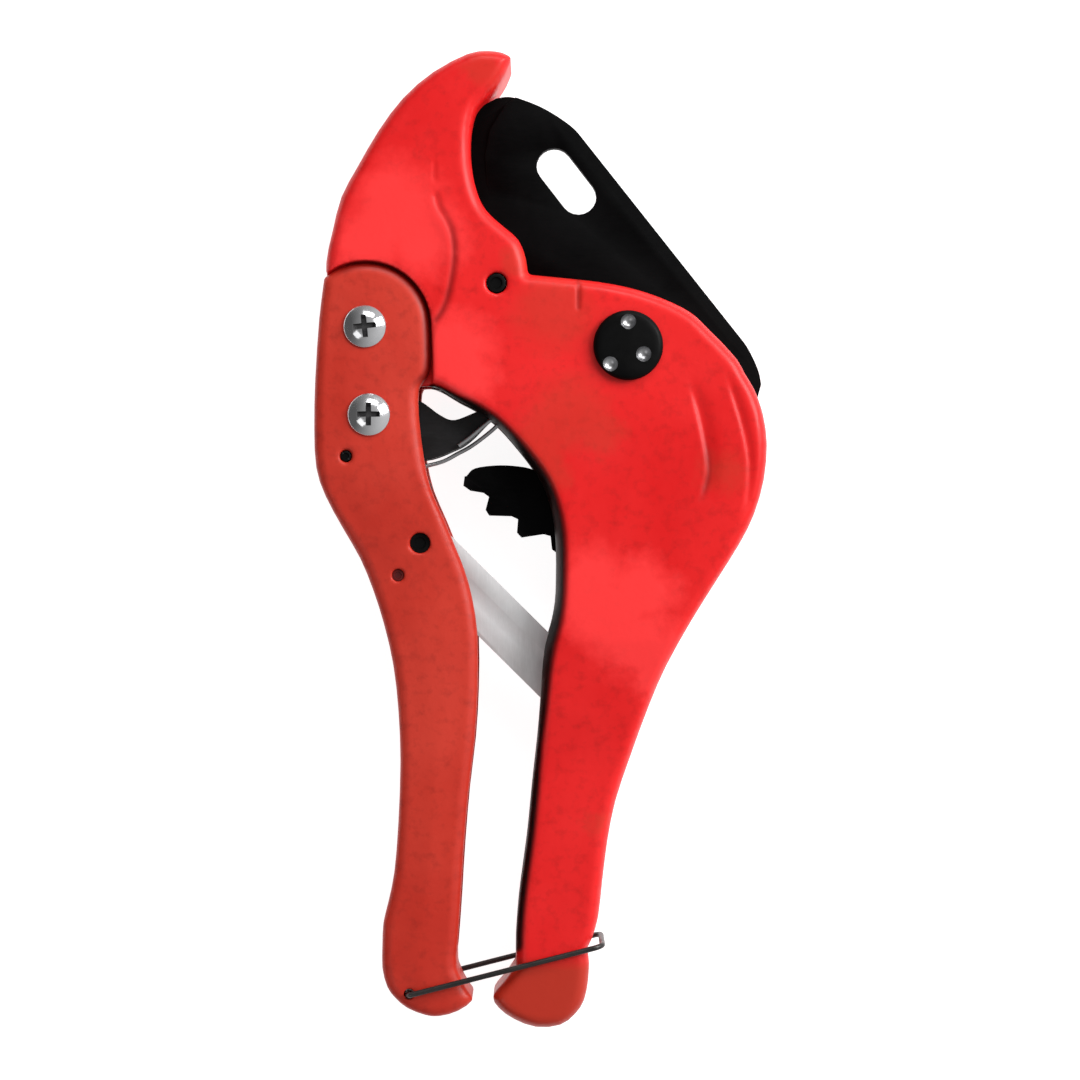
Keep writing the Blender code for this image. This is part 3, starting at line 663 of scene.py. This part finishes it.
def head_shade(c):
    """Painted shade along the rounded border of the handle's arched head, where it lies on the jaw casting."""
    d = line_distance(c[:, :2], HANDLE_LINE, True)
    u = c[:, 0] / GRID + U0
    v = v_of(c)
    band = 0.8 * (1 - step(d, 0.7 * MM, 1.9 * MM)) * step(u, 328, 350) * (1 - step(v, 378, 390))
    return band * (np.abs(c[:, 2] - MID) > 7.0 * MM)


casting("handle_casting", MAT["handle"], "handle", HANDLE_LINE, handle_thick, handle_relief, radius=2.4 * MM,
        shade=head_shade)

# ------------------------------------------------------------------ blade, pawl, strap
px, py = xy(*PIVOT)


def blade_face(p):
    c = p.center
    tilted = abs(p.normal.z) < 0.9995 and abs(p.normal.z) > 0.5
    far = math.hypot(c.x - px, c.y - py) / GRID > 196
    return 1 if tilted and far and c.y > py else 0


softened("blade", [MAT["blade"], MAT["blade"]], "blade", 0.22 * MM, 2, 24)
softened("pawl", MAT["pawl"], "pawl", 0.35 * MM, 3, 32)
softened("limit_link", MAT["strap"], "link", 0.22 * MM, 2, 40)

# ------------------------------------------------------------------ fasteners
def screw_head(name, node, centre, body, tilt):
    prof = [(0, 12.62), (0.9, 12.58), (1.8, 12.44), (2.7, 12.14), (3.5, 11.68), (4.1, 11.18),
            (4.45, 10.95), (4.52, 10.85), (4.50, 10.72), (4.35, 10.66), (2.0, 10.66), (2.0, -9.7), (1.8, -9.9), (0, -9.9)]
    ob = lathe(name, centre, prof, [MAT["chrome"], MAT["recess"]], body, node, 96)
    # cross recess, tapering to its floor
    def plus(arm, half, z, spin):
        pts = [(half, arm), (half, half), (arm, half), (arm, -half), (half, -half), (half, -arm),
               (-half, -arm), (-half, -half), (-arm, -half), (-arm, half), (-half, half), (-half, arm)]
        c, s_ = math.cos(spin), math.sin(spin)
        cx, cy = xy(*centre)
        return [(cx + (x * c - y * s_) * MM, cy + (x * s_ + y * c) * MM, MID + z * MM) for x, y in pts]

    bm = bmesh.new()
    top = [bm.verts.new(p) for p in plus(3.5, 0.72, 13.6, tilt)]
    low = [bm.verts.new(p) for p in plus(1.7, 0.42, 11.3, tilt)]
    bm.faces.new(top)
    bm.faces.new(list(reversed(low)))
    for i in range(12):
        k = (i + 1) % 12
        bm.faces.new((top[i], low[i], low[k], top[k]))
    bmesh.ops.recalc_face_normals(bm, faces=bm.faces)
    me = bpy.data.meshes.new("cross")
    bm.to_mesh(me)
    bm.free()
    me.materials.append(MAT["recess"])
    cut = bpy.data.objects.new("cross", me)
    bpy.context.scene.collection.objects.link(cut)
    m = ob.modifiers.new("c", "BOOLEAN")
    m.operation = "DIFFERENCE"
    m.solver = "EXACT"
    m.material_mode = "TRANSFER"
    m.object = cut
    me2 = evaluated(ob)
    ob.modifiers.clear()
    ob.data = me2
    bpy.data.objects.remove(cut, do_unlink=True)
    me2.shade_smooth()
    me2.set_sharp_from_angle(angle=math.radians(38))
    return ob


screw_head("handle_screw_finish", "handle_pivot_screw", HANDLE_PIVOT, "handle", 0.1)
screw_head("pawl_screw_finish", "pawl_pivot_screw", PAWL_PIVOT, "handle", 0.0)

bolt = lathe("pivot_bolt_finish", PIVOT,
             [(0, 13.12), (5.4, 13.12), (6.4, 13.02), (7.0, 12.78), (7.34, 12.35), (7.44, 11.9), (7.44, 11.42), (7.3, 11.3),
              (4.0, 11.3), (4.0, -10.3), (3.7, -10.6), (0, -10.6)],
             [MAT["black"], MAT["steel"]], "frame", "pivot_bolt", 96)
bm = bmesh.new()
for c in ((627, 325), (642, 357), (609, 367)):
    made = bmesh.ops.create_uvsphere(bm, u_segments=32, v_segments=20, radius=1.75 * MM)["verts"]
    bmesh.ops.translate(bm, verts=made, vec=(*xy(*c), MID + 13.75 * MM))
me = bpy.data.meshes.new("cups")
bm.to_mesh(me)
bm.free()
me.materials.append(MAT["steel"])
cut = bpy.data.objects.new("cups", me)
bpy.context.scene.collection.objects.link(cut)
m = bolt.modifiers.new("c", "BOOLEAN")
m.operation = "DIFFERENCE"
m.solver = "EXACT"
m.material_mode = "TRANSFER"
m.object = cut
me2 = evaluated(bolt)
bolt.modifiers.clear()
bolt.data = me2
bpy.data.objects.remove(cut, do_unlink=True)
me2.shade_smooth()
me2.set_sharp_from_angle(angle=math.radians(38))


def ring(name, node, centre, r0, r1, z0, z1, mat, body):
    c = min(0.15, (r1 - r0) * 0.2)
    return lathe(name, centre, [(r0, z0 + c), (r0, z1 - c), (r0 + c, z1), (r1 - c, z1), (r1, z1 - c),
                                (r1, z0 + c), (r1 - c, z0), (r0 + c, z0)], mat, body, node, 72)


def pin(name, node, centre, r, z0, z1, mat, body, dish=0.0):
    prof = [(0, z1 - dish), (r * 0.55, z1 - dish * 0.9), (r * 0.62, z1)] if dish else [(0, z1)]
    prof += [(r - 0.22, z1), (r - 0.06, z1 - 0.08), (r, z1 - 0.25), (r, z0 + 0.25), (r - 0.06, z0 + 0.08), (r - 0.22, z0), (0, z0)]
    return lathe(name, centre, prof, mat, body, node, 48)


ring("blade_bush_finish", "blade_bush", PIVOT, 4.4, 5.5, -3.9, 3.9, MAT["bronze"], "blade")
ring("pivot_washer_finish", "pivot_washer", PIVOT, 4.3, 7.5, -7.9, -7.5, MAT["steel"], "frame")
ring("handle_bush_finish", "handle_pivot_bush", HANDLE_PIVOT, 2.3, 3.0, -6.6, 6.6, MAT["bronze"], "frame")
ring("pawl_bush_finish", "pawl_bush", PAWL_PIVOT, 2.3, 2.9, -5.5, 5.5, MAT["bronze"], "handle")
pin("stop_pin_finish", "blade_stop_pin", STOP_PIN, 2.0, -10.7, 10.5, MAT["black"], "frame", 0.35)
pin("link_anchor_finish", "link_anchor_pin", LINK_PIVOT, 1.6, -9.2, 7.3, MAT["steel"], "frame", 0.2)
pin("spring_anchor_finish", "spring_anchor_pin", (348, 457), 1.1, -9.8, 10.1, MAT["black"], "handle", 0.2)
pin("dowel_finish", "handle_dowel", (399, 575), 1.3, -8.0, 7.9, MAT["dowel"], "handle", 0.2)
lathe("link_pin_finish", LINK_PIN, [(0, 7.75), (1.1, 7.78), (1.25, 8.05), (1.95, 8.1), (2.16, 8.0), (2.2, 7.8),
                                    (2.2, 6.2), (1.95, 6.1), (1.95, -6.1), (2.2, -6.2), (2.2, -8.0),
                                    (2.0, -8.2), (0, -8.2)], MAT["black"], "handle", "link_pin", 48)
softened("pivot_nut", MAT["steel"], "frame", 0.35 * MM, 2, 40)
softened("handle_pivot_nut", MAT["steel"], "handle", 0.2 * MM, 2, 40)
softened("pawl_pivot_nut", MAT["steel"], "handle", 0.2 * MM, 2, 40)

# ------------------------------------------------------------------ wires
WIRE = 0.6
zl = 8.3 + 0.3 + 0.1 + WIRE
(ax, ay), (bx, by) = LATCH_PIVOT, LATCH_END
leg = Vector((bx - ax, by - ay)).normalized()
loop = [at(ax, ay, -6.6), at(ax, ay, -7.6), at(ax, ay, -zl + 0.75), at(ax + leg.x * 1.4, ay + leg.y * 1.4, -zl + 0.18),
        at(ax + leg.x * 4.2, ay + leg.y * 4.2, -zl)]
for k in range(1, 7):
    loop.append(at(ax + (bx - ax) * k / 7, ay + (by - ay) * k / 7, -zl))
for back, up in ((9, 0.0), (5.2, 0.2), (2.0, 0.75), (0.5, 1.35), (0, 2.2), (0, 3.2)):
    loop.append(at(bx - leg.x * back, by - leg.y * back, -zl + up))
loop += [at(bx, by, -3), at(bx, by, 3)]
for back, up in ((0, 3.2), (0, 2.2), (0.5, 1.35), (2.0, 0.75), (5.2, 0.2), (9, 0.0)):
    loop.append(at(bx - leg.x * back, by - leg.y * back, zl - up))
for k in range(6, 0, -1):
    loop.append(at(ax + (bx - ax) * k / 7, ay + (by - ay) * k / 7, zl))
loop += [at(ax + leg.x * 4.2, ay + leg.y * 4.2, zl), at(ax + leg.x * 1.4, ay + leg.y * 1.4, zl - 0.18),
         at(ax, ay, zl - 0.75), at(ax, ay, 7.6), at(ax, ay, 6.6)]
tube("latch_wire_finish", loop, WIRE, MAT["wire"], "latch", "latch_wire")

spring = [at(PAWL_PIVOT[0] + 20 * math.cos(math.radians(a)), PAWL_PIVOT[1] + 20 * math.sin(math.radians(a)), 4.85)
          for a in range(-200, 76, 15)]
spring += [at(u, v, z) for u, v, z in (
    (385, 446, 4.85), (400, 461, 4.0), (416, 467, 2.9), (430, 465, 2.7), (444, 461, 2.7),
    (457, 454, 2.7), (470, 447, 2.9), (484, 437, 3.3), (496, 427, 3.9), (502, 420, 4.5),
    (500, 416, 4.85), (494, 418, 4.95), (484, 426, 4.95), (470, 438, 4.95), (459, 446, 4.9))]
tube("pawl_spring_finish", spring, 0.45, MAT["steel"], "pawl", "pawl_spring")
torsion = []
for k in range(0, 60):
    a = 2 * math.pi * k / 24
    r = (6.6 + 1.55 * k / 24) * MM
    torsion.append(Vector((px + r * math.cos(a), py + r * math.sin(a), MID + 2.85 * MM)))
tube("blade_spring_finish", torsion, 0.5, MAT["steel"], "frame", "blade_spring", 2)

# ------------------------------------------------------------------ floor, light, camera
floor_mesh = bpy.data.meshes.new("floor")
bm = bmesh.new()
bmesh.ops.create_grid(bm, x_segments=8, y_segments=8, size=2.5)
bmesh.ops.translate(bm, verts=bm.verts, vec=(0, 0, -0.0004))
bm.to_mesh(floor_mesh)
bm.free()
floor = bpy.data.objects.new("floor", floor_mesh)
bpy.context.scene.collection.objects.link(floor)
fl = Nodes("studio_floor")
fl.set(Base_Color=fl.mix(fl.span(fl.noise(6, 3), 0, 1), (0.44, 0.44, 0.44), (0.47, 0.47, 0.47)), Roughness=0.9)
fl.bsdf.inputs["Emission Color"].default_value = (1, 1, 1, 1)
fl.bsdf.inputs["Emission Strength"].default_value = 0.91
fl.bsdf.inputs["Specular IOR Level"].default_value = 0.1
floor_mesh.materials.append(fl.mat)


def area(name, loc, target, size, power, colour=(1, 1, 1)):
    d = bpy.data.lights.new(name, "AREA")
    d.shape = "RECTANGLE"
    d.size, d.size_y = size
    d.energy = power
    d.color = colour
    o = bpy.data.objects.new(name, d)
    bpy.context.scene.collection.objects.link(o)
    o.location = loc
    o.rotation_euler = (Vector(target) - Vector(loc)).to_track_quat("-Z", "Y").to_euler()


area("key", (0.66, 0.34, 0.52), (0, 0, 0.01), (0.40, 0.50), 7.6)
area("top", (0.12, 0.66, 0.50), (0, 0, 0.01), (0.5, 0.3), 2.4)
area("fill", (-0.55, -0.45, 0.80), (0, 0, 0.01), (0.5, 0.5), 0.8)

world = bpy.data.worlds.new("studio")
bpy.context.scene.world = world
world.use_nodes = True
wt = world.node_tree
sep = wt.nodes.new("ShaderNodeSeparateXYZ")
wt.links.new(wt.nodes.new("ShaderNodeTexCoord").outputs["Generated"], sep.inputs[0])
grad = wt.nodes.new("ShaderNodeMapRange")
grad.inputs["From Min"].default_value = -0.8
grad.inputs["From Max"].default_value = 0.9
grad.inputs["To Min"].default_value = 0.10
grad.inputs["To Max"].default_value = 0.62
wt.links.new(sep.outputs["X"], grad.inputs["Value"])
wt.nodes["Background"].inputs["Color"].default_value = (1, 1, 1, 1)
wt.links.new(grad.outputs["Result"], wt.nodes["Background"].inputs["Strength"])

sc = bpy.context.scene
sc.view_settings.view_transform = "Standard"
sc.view_settings.look = "None"
sc.view_settings.exposure = 0.0

cam = bpy.data.cameras.new("camera")
cam.sensor_width = 36.0
cam.lens = 115.0 * 0.58 / 0.7462
cam.clip_start = 0.01
co = bpy.data.objects.new("camera", cam)
sc.collection.objects.link(co)
co.location = ((540 - U0) * GRID, (V0 - 540) * GRID, 0.0145 + 0.58)
co.rotation_euler = (0, 0, 0)
sc.camera = co
